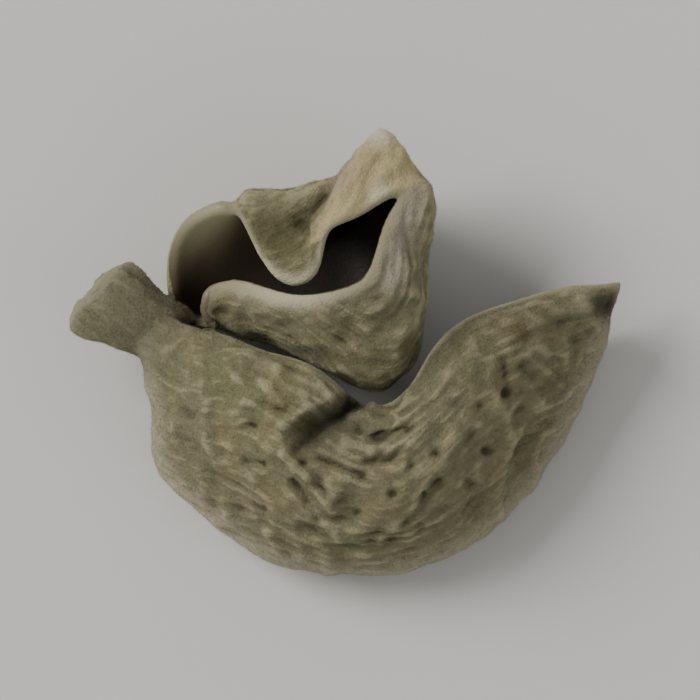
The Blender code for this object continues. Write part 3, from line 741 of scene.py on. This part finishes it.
# %% Fine relief of the felted face
FINE_FOLD_LENGTH = (3.6, 0.95)
FINE_FOLD_HEIGHT = 0.15
WING_FROM = 4.0
WING_EASE = 6.0
WING_CALM = 0.45
DIMPLE_LENGTH = 0.8
DIMPLE_HEIGHT = 0.05
RELIEF_MARGIN = 1.0
STROKES = (
    ((0.2, -4.8), (1.8, -4.3), 0.42, 0.28),
    ((1.8, -4.3), (3.4, -4.8), 0.42, 0.28),
    ((3.4, -4.8), (4.3, -3.2), 0.36, 0.24),
    ((0.6, -5.6), (2.0, -6.1), 0.50, -0.50),
    ((2.0, -6.1), (4.2, -5.7), 0.46, -0.44),
    ((-0.4, -6.9), (1.6, -7.3), 0.42, 0.32),
    ((1.6, -7.3), (4.4, -6.7), 0.42, 0.30),
    ((1.2, -8.1), (3.4, -8.0), 0.36, -0.22),
    ((-5.0, -7.5), (-3.2, -9.2), 0.24, 0.48),
    ((-3.2, -9.2), (-1.4, -11.8), 0.32, 0.28),
    ((-4.2, -9.6), (-2.4, -12.4), 0.30, -0.28),
    ((-2.9, -11.6), (-1.2, -13.2), 0.34, 0.22),
    ((-2.2, -7.9), (0.9, -9.3), 0.32, -0.42),
    ((-1.6, -9.6), (-1.3, -10.8), 0.40, 0.26),
    ((-0.9, -13.6), (2.2, -13.8), 0.42, 0.20),
    ((2.2, -13.8), (4.8, -11.5), 0.42, 0.24),
    ((4.0, -12.6), (6.6, -9.8), 0.36, -0.26),
    ((-7.8, -8.2), (-6.4, -8.4), 0.30, -0.30),
    ((-8.9, -1.4), (-7.4, -3.0), 0.34, 0.22),
    ((-6.6, -2.2), (-5.0, -3.8), 0.34, 0.22),
    ((11.3, -0.6), (11.6, -3.0), 0.26, -0.16),
    ((13.2, -0.3), (15.6, -2.6), 0.34, 0.16),
    ((12.6, -1.2), (14.8, -3.6), 0.34, -0.12),
)
PITS = ((5.6, -10.8), (6.3, -7.5), (4.5, -8.4), (8.9, -9.9), (10.0, -7.4), (0.4, -12.1),
        (5.2, -13.1), (-3.4, -8.2), (9.6, -4.1), (11.6, -3.2), (-7.2, -5.4), (3.1, -10.6))
PIT_RADIUS = 0.40
PIT_DEPTH = 0.34


def from_segment(places, start, end):
    """How far each place is from a straight stroke."""
    start, end = np.array(start), np.array(end)
    run = end - start
    share = np.clip((places - start) @ run / (run @ run), 0.0, 1.0)
    return np.linalg.norm(places - start - share[:, None] * run, axis=1)


def fine_relief(points, normals, fact):
    """How far the fine relief moves each point outwards, in millimetres."""
    swirl = noise_at(points, 5.0, 61.0)
    lobe_place = np.stack([fact["along"] / FINE_FOLD_LENGTH[0] + 0.5 * swirl,
                           fact["across"] / FINE_FOLD_LENGTH[1] + 0.9 * swirl, 9.0 * fact["lobe"]], axis=1)
    wing = np.clip((points[:, 0] - WING_FROM) / WING_EASE, 0.0, 1.0)
    height = FINE_FOLD_HEIGHT * (folds(lobe_place, 1.0, 5.0) - 0.55) * (1.0 - WING_CALM * wing)
    height += DIMPLE_HEIGHT * noise_at(points, DIMPLE_LENGTH, 71.0)
    on_top = (normals[:, 2] > 0.15) & (fact["lobe"] < 0.5)
    for start, end, width, tall in STROKES:
        near = np.exp(-(from_segment(points[:, :2], start, end) / width) ** 2)
        height += tall * near * on_top
    for pit in PITS:
        near = np.linalg.norm(points[:, :2] - np.array(pit), axis=1) / PIT_RADIUS
        height -= PIT_DEPTH * np.exp(-near ** 2) * on_top
    felted = np.clip(fact["felt"] * 2.0 - 1.0, 0.0, 1.0)
    return height * felted * (1.0 - fade(fact["margin"], RELIEF_MARGIN))


skin_normals = normals_of(skin_mesh)
relief = fine_relief(skin_points, skin_normals, fact)
skin_points += skin_normals * relief[:, None]
print("fine relief from", round(relief.min(), 2), "to", round(relief.max(), 2), "mm")

# %% [markdown]
# The ear lies on two flat patches, where its own weight pressed it while it dried. The lowest skin is pressed
# flat at that height. Then the skin is moved as a whole to where the solid lies, and scaled to metres.

# %% Rest the skin where the solid rests
REST_HEIGHT = 0.45


def rested(points):
    """The points pressed flat below, and placed on the solid."""
    points = points.copy()
    points[:, 2] = np.maximum(points[:, 2], REST_HEIGHT)
    low, high = points.min(axis=0), points.max(axis=0)
    solid_low, solid_high = np.array(EAR_LOW) / MM, np.array(EAR_HIGH) / MM
    shift = (solid_low + solid_high - low - high) / 2.0
    shift[2] = solid_low[2] - REST_HEIGHT
    print("skin size mm", (high - low).round(2), "moved by", shift.round(3))
    return points + shift


drawn_points = skin_points.copy()
skin_points = rested(skin_points)
skin_mesh.vertices.foreach_set("co", (skin_points * MM).astype(np.float32).ravel())
skin_mesh.update()

# %% [markdown]
# The felt is painted darker in its valleys, as painted shade, and paler on its crests, as painted highlight. How
# high a point stands over the skin around it is measured on the mesh itself: the skin is softened many times
# over, and the height over the softened skin is kept, once for broad forms and once for fine ones.

# %% Measure crests and valleys
BROAD_PASSES = 60
FINE_PASSES = 10
BROAD_SPAN = 0.30
FINE_SPAN = 0.06


def softened(values, edges, passes):
    """Each value drawn towards the mean of its neighbours, again and again."""
    count = len(values)
    a, b = edges.T
    degree = (np.bincount(a, minlength=count) + np.bincount(b, minlength=count))[:, None]
    for _ in range(passes):
        total = np.stack([np.bincount(a, values[b, k], count) + np.bincount(b, values[a, k], count)
                          for k in range(values.shape[1])], axis=1)
        values = 0.5 * (values + total / degree)
    return values


def edges_of(mesh):
    """The edges of a mesh, as pairs of points."""
    flat = np.empty(len(mesh.edges) * 2, np.int32)
    mesh.edges.foreach_get("vertices", flat)
    return flat.reshape(-1, 2)


skin_edges = edges_of(skin_mesh)
skin_normals = normals_of(skin_mesh)
standing = {}
for name, passes, span in (("broad", BROAD_PASSES, BROAD_SPAN), ("fine", FINE_PASSES, FINE_SPAN)):
    over = ((skin_points - softened(skin_points, skin_edges, passes)) * skin_normals).sum(axis=1)
    standing[name] = over / span
    print(name, "relief, tenth and ninetieth hundredth:", np.percentile(over, (10, 90)).round(3), "mm")

# %% Keep the facts on the mesh
STAIN_PLACE = (12.6, 1.2)
STAIN_REACH = 1.4
# A painted shadow by the tip, in the inner face's dark colour
TIP_SHADOW_PLACE = (19.0, 3.3)
TIP_SHADOW_REACH = 2.0
# Painted light on the cup's inner wall, which lies in shade
INNER_LIGHT_PLACE = (-9.6, 9.6)
INNER_LIGHT_REACH = 6.0
# The inner wall's own brown, made paler as painted light where the cup's shade falls
INNER_BROWN_PLACE = (-8.8, 7.0)
INNER_BROWN_REACH = 5.0
FLAP_EASE = 0.9
FLAP_BOTTOM = 12.0
FLAP_RIGHT = 5.4
FLAP_EDGE = ((-1.6, 8.8), (3.9, 11.9))
# Painted shade on the tongue, the felt face that rolls in over the mouth
TONGUE_SHADE_PLACE = (-5.3, 8.8)
TONGUE_SHADE_REACH = 4.2
TONGUE_TIP_PLACE = (-4.2, 6.2)
TONGUE_TIP_REACH = 6.0
# Painted shade in the gap where the rear lobe meets the foot
CLEFT_SHADE_PLACE = (-11.4, 2.1)
CLEFT_SHADE_REACH = 1.5
OUTLINE_REACH = 1.7
OUTLINE_STATION = 5
OUTLINE_POINTS = 80
STRIP_LINE = ((2.9, 5.4), (4.7, 11.4))
STRIP_REACH = 2.0
# A painted highlight on the flap near its lower edge
FLAP_HIGHLIGHT_PLACE = (2.2, 11.5)
FLAP_HIGHLIGHT_REACH = 1.5
FLAP_PINK_PLACE = (-0.4, 13.2)
FLAP_PINK_REACH = 2.6
PEAK_PLACE = (2.4, 16.2)
PEAK_REACH = 1.8


def store(mesh, name, values):
    """Keep one number for each point of a mesh."""
    kept = mesh.attributes.new(name, "FLOAT", "POINT")
    kept.data.foreach_set("value", values.astype(np.float32))


def near_place(place, reach):
    """1 at a place of the drawn plan, falling smoothly to 0 at the reach."""
    return fade(np.linalg.norm(drawn_points[:, :2] - np.array(place), axis=1), reach)


def left_of(line):
    """How far each drawn point is to the left of a line through two places."""
    start, end = np.array(line[0]), np.array(line[1])
    run = unit(end - start)
    return (drawn_points[:, :2] - start) @ np.array((-run[1], run[0]))


def flap_share():
    """1 on the flap of the rear lobe, painted as lit, 0 beyond its step and its margins."""
    beside = fade(0.5 * FLAP_EASE - left_of((FLAP_TOP, FLAP_END)), FLAP_EASE)
    inside = 1.0 - fade(FLAP_RIGHT - drawn_points[:, 0], FLAP_EASE)
    above = 1.0 - fade(left_of(FLAP_EDGE) + 0.5 * FLAP_EASE, 0.5 * FLAP_EASE)
    high = 1.0 - fade(drawn_points[:, 2] - FLAP_BOTTOM, FLAP_EASE)
    return beside * inside * above * high


def from_outline():
    """How far each drawn point is from the front lobe's outline, in the plan."""
    corners = np.array(FRONT_SECTIONS)[:, OUTLINE_STATION, :2]
    line = smooth_curve(corners, np.linspace(0.0, 1.0, OUTLINE_POINTS))
    return np.min([from_segment(drawn_points[:, :2], *pair) for pair in zip(line, line[1:])], axis=0)


upward = skin_normals[:, 2] > 0.0
on_top = upward & (fact["lobe"] < 0.5)
on_rear = upward & (fact["lobe"] > 0.5)
point_facts = {
    "felt": np.clip(fact["felt"], 0.0, 1.0),
    "margin": fact["margin"],
    "along": fact["along"],
    "across": fact["across"],
    "cut": fact["cut"],
    "broad": standing["broad"],
    "fine": standing["fine"],
    "stain": near_place(STAIN_PLACE, STAIN_REACH) * on_top,
    # Painted shadow by the tip
    "tip_painted_shadow": near_place(TIP_SHADOW_PLACE, TIP_SHADOW_REACH) * on_top,
    # Painted shade on the crease's facet, which slopes away from the lamp
    "crease": crease_share(drawn_points) ** 0.45 * on_top,
    # Painted shade in the gap by the foot
    "cleft_painted_shade": near_place(CLEFT_SHADE_PLACE, CLEFT_SHADE_REACH) * (fact["lobe"] > 0.2),
    # A painted highlight along the front lobe's outline, for light caught by the felt at the edge
    "outline": fade(from_outline(), OUTLINE_REACH) * on_top,
    "strip": fade(from_segment(drawn_points[:, :2], *STRIP_LINE), STRIP_REACH) * on_rear,
    # Brown of the inner wall, with painted light
    "inner_brown_and_light": near_place(INNER_BROWN_PLACE, INNER_BROWN_REACH) * (fact["lobe"] > 0.5),
    # Painted highlight on the flap
    "flap_highlight": near_place(FLAP_HIGHLIGHT_PLACE, FLAP_HIGHLIGHT_REACH) * on_rear,
    "flap_pink": near_place(FLAP_PINK_PLACE, FLAP_PINK_REACH) * on_rear,
    "tongue_tip": near_place(TONGUE_TIP_PLACE, TONGUE_TIP_REACH) * on_rear,
    # Painted light on the cup's inner wall
    "inner_painted_light": near_place(INNER_LIGHT_PLACE, INNER_LIGHT_REACH) * (fact["lobe"] > 0.5),
    # Painted light on the flap, which faces the lamp
    "flap": flap_share() * on_rear,
    # Painted shade on the tongue
    "tongue_shade": near_place(TONGUE_SHADE_PLACE, TONGUE_SHADE_REACH) * on_rear,
    "peak": near_place(PEAK_PLACE, PEAK_REACH) * on_rear,
}
for name, values in point_facts.items():
    store(skin_mesh, name, values)
print("kept on the skin:", ", ".join(point_facts))

# %% [markdown]
# The felted face is a mat of short grey hairs on tan skin. It has no gloss of its own, and its hairs catch
# light at a glancing angle, which the sheen gives. The inner face is the smooth spore-bearing skin, dried
# nearly black, with the low gloss of dried glue. Both finishes share one pattern of colour, so that the lip
# between them shows no seam, and only sheen, gloss and bump differ.

# %% Colours of the dried ear, with painted light and shade
FELT_BASE = "#807a5c"
# Painted highlight on the felt's crests and painted shade in its valleys
FELT_CREST_HIGHLIGHT = "#a89f7b"
FELT_VALLEY_SHADE = "#464029"
FELT_WARM = "#877b59"
FELT_COOL = "#7a7655"
# Painted light on the flap
FLAP_PAINTED_LIGHT = "#c2b183"
# Painted highlight on the flap
FLAP_PAINTED_HIGHLIGHT = "#e0dab8"
FLAP_PINK = "#ab917c"
STRIP_LILAC = "#a89e8b"
# Painted shade on the tongue, in a dark olive
TONGUE_PAINTED_SHADE = "#504b29"
# Painted shade for the crease's facet
CREASE_PAINTED_SHADE = "#3a3524"
INNER_PAINTED_LIGHT = "#a09c78"
# Painted sheen along the outline
OUTLINE_PAINTED_SHEEN = "#b9b097"
PEAK_PALE = "#d8d3bf"
LIP_PALE = "#968e70"
TONGUE_EDGE = "#cdc5a5"
CUT_PALE = "#a39c84"
FOOT_OLIVE = "#6d6a51"
SMOOTH_DARK = "#2a241b"
SMOOTH_BROWN = "#4b3c2b"
# The inner wall's brown, brightened as painted light
INNER_BROWN_AND_LIGHT = "#a48d74"
STAIN_BROWN = "#54401f"
FELT_PATCHES = (("tongue_shade", 0.85, TONGUE_PAINTED_SHADE), ("strip", 0.8, STRIP_LILAC), ("flap", 0.9, FLAP_PAINTED_LIGHT),
                ("flap_pink", 0.5, FLAP_PINK), ("flap_highlight", 0.8, FLAP_PAINTED_HIGHLIGHT), ("peak", 0.7, PEAK_PALE),
                ("outline", 0.6, OUTLINE_PAINTED_SHEEN),
                ("crease", 1.0, CREASE_PAINTED_SHADE), ("stain", 0.75, STAIN_BROWN), ("tip_painted_shadow", 0.9, SMOOTH_DARK))
MOTTLE_LENGTH = 4.5
FLECK_LENGTH = 0.9
STREAK_DISTORTION = 0.5
FIBRE_LENGTH = 0.9
FIBRE_WIDTH = 0.16


def dried_ear(name, sheen, roughness, bump_distance):
    """One finish of the ear: its pattern of colour, with its own sheen, roughness and bump."""
    material = bpy.data.materials.new(name)
    material.use_nodes = True
    tree = material.node_tree
    shader = tree.nodes["Principled BSDF"]

    def fact_node(fact_name):
        return add_node(tree, "ShaderNodeAttribute", {"attribute_name": fact_name}).outputs["Fac"]

    def ranged(value, low, high, out_low=0.0, out_high=1.0):
        return add_node(tree, "ShaderNodeMapRange", {"interpolation_type": "SMOOTHSTEP"},
                        {"Value": value, "From Min": low, "From Max": high,
                         "To Min": out_low, "To Max": out_high}).outputs["Result"]

    def blended(share, first, second, mode="MIX"):
        made = add_node(tree, "ShaderNodeMix", {"data_type": "RGBA", "blend_type": mode}, {0: share})
        for socket, colour in ((6, first), (7, second)):
            if isinstance(colour, str):
                made.inputs[socket].default_value = linear(colour)
            else:
                tree.links.new(colour, made.inputs[socket])
        return made.outputs[2]

    def maths(operation, first, second):
        return add_node(tree, "ShaderNodeMath", {"operation": operation}, {0: first, 1: second}).outputs[0]

    place = add_node(tree, "ShaderNodeTexCoord").outputs["Object"]
    place = add_node(tree, "ShaderNodeVectorMath", {"operation": "SCALE"},
                     {"Vector": place, "Scale": 1.0 / MM}).outputs["Vector"]

    def mottle(length, detail, where=place, distortion=0.0):
        return add_node(tree, "ShaderNodeTexNoise", None,
                        {"Vector": where, "Scale": 1.0 / length, "Detail": detail,
                         "Distortion": distortion}).outputs["Fac"]

    felt, margin = fact_node("felt"), fact_node("margin")
    along, across = fact_node("along"), fact_node("across")
    lobe_place = add_node(tree, "ShaderNodeCombineXYZ", None, {
        "X": maths("DIVIDE", along, FIBRE_LENGTH * 5.0), "Y": maths("DIVIDE", across, FIBRE_WIDTH * 3.0)})
    streaks = mottle(1.0, 3.0, lobe_place.outputs["Vector"], STREAK_DISTORTION)
    broad_mottle = mottle(MOTTLE_LENGTH, 2.0)
    flecks = mottle(FLECK_LENGTH, 4.0)

    # How pale a point of the felt is: its height over the skin around it, for painted shade and highlight, with
    # flecks and streaks
    height = maths("ADD", maths("MULTIPLY", fact_node("broad"), 0.30), maths("MULTIPLY", fact_node("fine"), 0.24))
    height = maths("ADD", height, maths("MULTIPLY", maths("SUBTRACT", flecks, 0.5), 1.1))
    height = maths("ADD", height, maths("MULTIPLY", maths("SUBTRACT", streaks, 0.5), 1.4))
    felt_colour = blended(ranged(broad_mottle, 0.40, 0.62), FELT_BASE, FELT_COOL)
    felt_colour = blended(ranged(mottle(MOTTLE_LENGTH * 0.7, 1.0), 0.52, 0.68, 0.0, 0.7), felt_colour, FELT_WARM)
    # Painted shade in the felt's valleys, then painted highlight on its crests
    felt_colour = blended(ranged(height, -0.08, -1.0, 0.0, 0.88), felt_colour, FELT_VALLEY_SHADE)
    felt_colour = blended(ranged(height, 0.05, 0.75, 0.0, 0.85), felt_colour, FELT_CREST_HIGHLIGHT)
    for fact_name, strength, colour in FELT_PATCHES:
        felt_colour = blended(maths("MULTIPLY", fact_node(fact_name), strength), felt_colour, colour)
    felt_colour = blended(maths("MULTIPLY", fact_node("cut"), 0.8), felt_colour, CUT_PALE)
    ragged_margin = maths("ADD", margin, maths("MULTIPLY", flecks, 0.5))
    felt_colour = blended(ranged(ragged_margin, 1.25, 0.55, 0.0, 0.8), felt_colour, LIP_PALE)
    tongue_edge = maths("MULTIPLY", ranged(ragged_margin, 1.9, 0.9), fact_node("tongue_tip"))
    felt_colour = blended(tongue_edge, felt_colour, TONGUE_EDGE)
    by_foot = ranged(along, 7.0, -2.0, 0.0, 0.8)
    felt_colour = blended(by_foot, felt_colour, FOOT_OLIVE)
    # Painted shade in the gap by the foot, in the inner face's dark colour
    felt_colour = blended(fact_node("cleft_painted_shade"), felt_colour, SMOOTH_DARK)
    smooth_colour = blended(ranged(broad_mottle, 0.35, 0.7), SMOOTH_DARK, SMOOTH_BROWN)
    smooth_colour = blended(ranged(fact_node("broad"), 0.1, 1.0, 0.0, 0.4), smooth_colour, FELT_WARM)
    # The inner wall's brown, made paler as painted light in its shade
    smooth_colour = blended(maths("MULTIPLY", fact_node("inner_brown_and_light"), 0.9), smooth_colour, INNER_BROWN_AND_LIGHT)
    # Painted light on the cup's inner wall, where its shade falls
    smooth_colour = blended(fact_node("inner_painted_light"), smooth_colour, INNER_PAINTED_LIGHT)
    share = ranged(felt, 0.25, 0.62)
    tree.links.new(blended(share, smooth_colour, felt_colour), shader.inputs["Base Color"])

    fibre_place = add_node(tree, "ShaderNodeCombineXYZ", None, {
        "X": maths("DIVIDE", along, FIBRE_LENGTH), "Y": maths("DIVIDE", across, FIBRE_WIDTH)})
    fibres = mottle(1.0, 2.0, fibre_place.outputs["Vector"])
    grain = maths("ADD", maths("MULTIPLY", fibres, 0.5), mottle(0.22, 3.0))
    bump = add_node(tree, "ShaderNodeBump", None,
                    {"Height": grain, "Distance": bump_distance * MM, "Strength": 1.0})
    tree.links.new(bump.outputs["Normal"], shader.inputs["Normal"])
    shader.inputs["Roughness"].default_value = roughness
    shader.inputs["Sheen Weight"].default_value = sheen
    shader.inputs["Sheen Roughness"].default_value = 0.4
    shader.inputs["Sheen Tint"].default_value = linear("#cfc6a8")
    return material


felt_finish = dried_ear("dried_felt_skin", sheen=0.45, roughness=0.95, bump_distance=0.10)
smooth_finish = dried_ear("dried_smooth_skin", sheen=0.0, roughness=0.48, bump_distance=0.02)
print("finishes made:", felt_finish.name, smooth_finish.name)

# %% Dress the skin
FELT_SLOT, SMOOTH_SLOT = 0, 1


def face_means(mesh, values):
    """The mean of a fact over each face's points."""
    corners = np.empty(len(mesh.loops), np.int32)
    mesh.loops.foreach_get("vertex_index", corners)
    starts = np.empty(len(mesh.polygons), np.int32)
    mesh.polygons.foreach_get("loop_start", starts)
    return np.add.reduceat(values[corners], starts) / np.diff(np.append(starts, len(corners)))


skin_mesh.materials.clear()
skin_mesh.materials.append(felt_finish)
skin_mesh.materials.append(smooth_finish)
slots = np.where(face_means(skin_mesh, point_facts["felt"]) > 0.4, FELT_SLOT, SMOOTH_SLOT)
skin_mesh.polygons.foreach_set("material_index", slots.astype(np.int32))
skin_mesh.shade_smooth()
skin = bpy.data.objects.new("wood_ear_skin", skin_mesh)
bpy.context.scene.collection.objects.link(skin)
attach(skin, "root")
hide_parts("wood_ear")
print("skin:", (slots == FELT_SLOT).sum(), "felted faces and", (slots == SMOOTH_SLOT).sum(), "smooth ones")

# %% [markdown]
# The felt itself is short hair. Hair curves and particles are lost when a model is exported, so each hair is
# a real closed spike with three sides, standing on a point of the felted face and leaning over at random.
# Real hairs are finer and closer than the render can show, so these are a little thicker and fewer.

# %% Felt hairs
HAIR_LENGTH = (0.12, 0.30)
HAIR_RADIUS = 0.013
HAIR_ROOT = 0.05
HAIR_LEAN = (0.8, 2.2)
HAIR_LIMIT = 48000
HAIR_MARGIN = 0.7


def mesh_triangles(mesh):
    """The triangles of a mesh, as triples of points."""
    mesh.calc_loop_triangles()
    flat = np.empty(len(mesh.loop_triangles) * 3, np.int32)
    mesh.loop_triangles.foreach_get("vertices", flat)
    return flat.reshape(-1, 3)


def felt_hairs(name, wanted, count, seed):
    """Closed spikes on the triangles that are wanted, and the facts of the skin under each."""
    draw = np.random.default_rng(seed)
    corners = skin_points[wanted]
    areas = np.linalg.norm(np.cross(corners[:, 1] - corners[:, 0], corners[:, 2] - corners[:, 0]), axis=1)
    chosen = draw.choice(len(wanted), count, p=areas / areas.sum())
    shares = draw.dirichlet((1.0, 1.0, 1.0), count)[..., None]
    roots = (corners[chosen] * shares).sum(axis=1)
    upright = unit((skin_normals[wanted][chosen] * shares).sum(axis=1))
    sideways = unit(np.cross(upright, draw.normal(size=(count, 3))))
    lean = draw.uniform(*HAIR_LEAN, (count, 1))
    direction = unit(upright + sideways * lean)
    wide = unit(np.cross(direction, upright + 0.01 * sideways))
    deep = np.cross(direction, wide)
    length = draw.uniform(*HAIR_LENGTH, (count, 1))
    roots = roots - upright * HAIR_ROOT
    corners = []
    for turn in range(3):
        angle = 2.0 * math.pi * turn / 3.0
        corners.append(roots + HAIR_RADIUS * (wide * math.cos(angle) + deep * math.sin(angle)))
    corners.append(roots + direction * (length + HAIR_ROOT))
    points = np.stack(corners, axis=1).reshape(-1, 3)
    first = np.arange(count)[:, None, None] * 4
    spike = np.array(((0, 1, 3), (1, 2, 3), (2, 0, 3), (2, 1, 0)))
    mesh = bpy.data.meshes.new(name)
    mesh.from_pydata((points * MM).tolist(), [], (first + spike).reshape(-1, 3).tolist())
    for fact_name, values in point_facts.items():
        under = (values[wanted][chosen] * shares[..., 0]).sum(axis=1)
        store(mesh, fact_name, np.repeat(under, 4))
    mesh.materials.append(hair_finish)
    hairs = bpy.data.objects.new(name, mesh)
    bpy.context.scene.collection.objects.link(hairs)
    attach(hairs, "root")
    return hairs


hair_finish = dried_ear("dried_felt_hair", sheen=0.0, roughness=0.9, bump_distance=0.02)
triangles = mesh_triangles(skin_mesh)
hairy = point_facts["felt"][triangles].mean(axis=1) > 0.62
hairy &= (point_facts["cut"][triangles].mean(axis=1) < 0.5)
hairy &= (point_facts["margin"][triangles].mean(axis=1) > HAIR_MARGIN)
clear_of_floor = skin_points[triangles][..., 2].min(axis=1) > 0.35
on_front = fact["lobe"][triangles].mean(axis=1) < 0.5
by_foot = skin_points[triangles][..., 0].mean(axis=1) < 0.0
patches = (("felt_hairs_by_foot", on_front & by_foot, 5), ("felt_hairs_by_tip", on_front & ~by_foot, 7),
           ("felt_hairs_rear", ~on_front, 6))
for name, here, seed in patches:
    made = felt_hairs(name, triangles[hairy & clear_of_floor & here], HAIR_LIMIT, seed)
    print(name, len(made.data.polygons), "triangles")
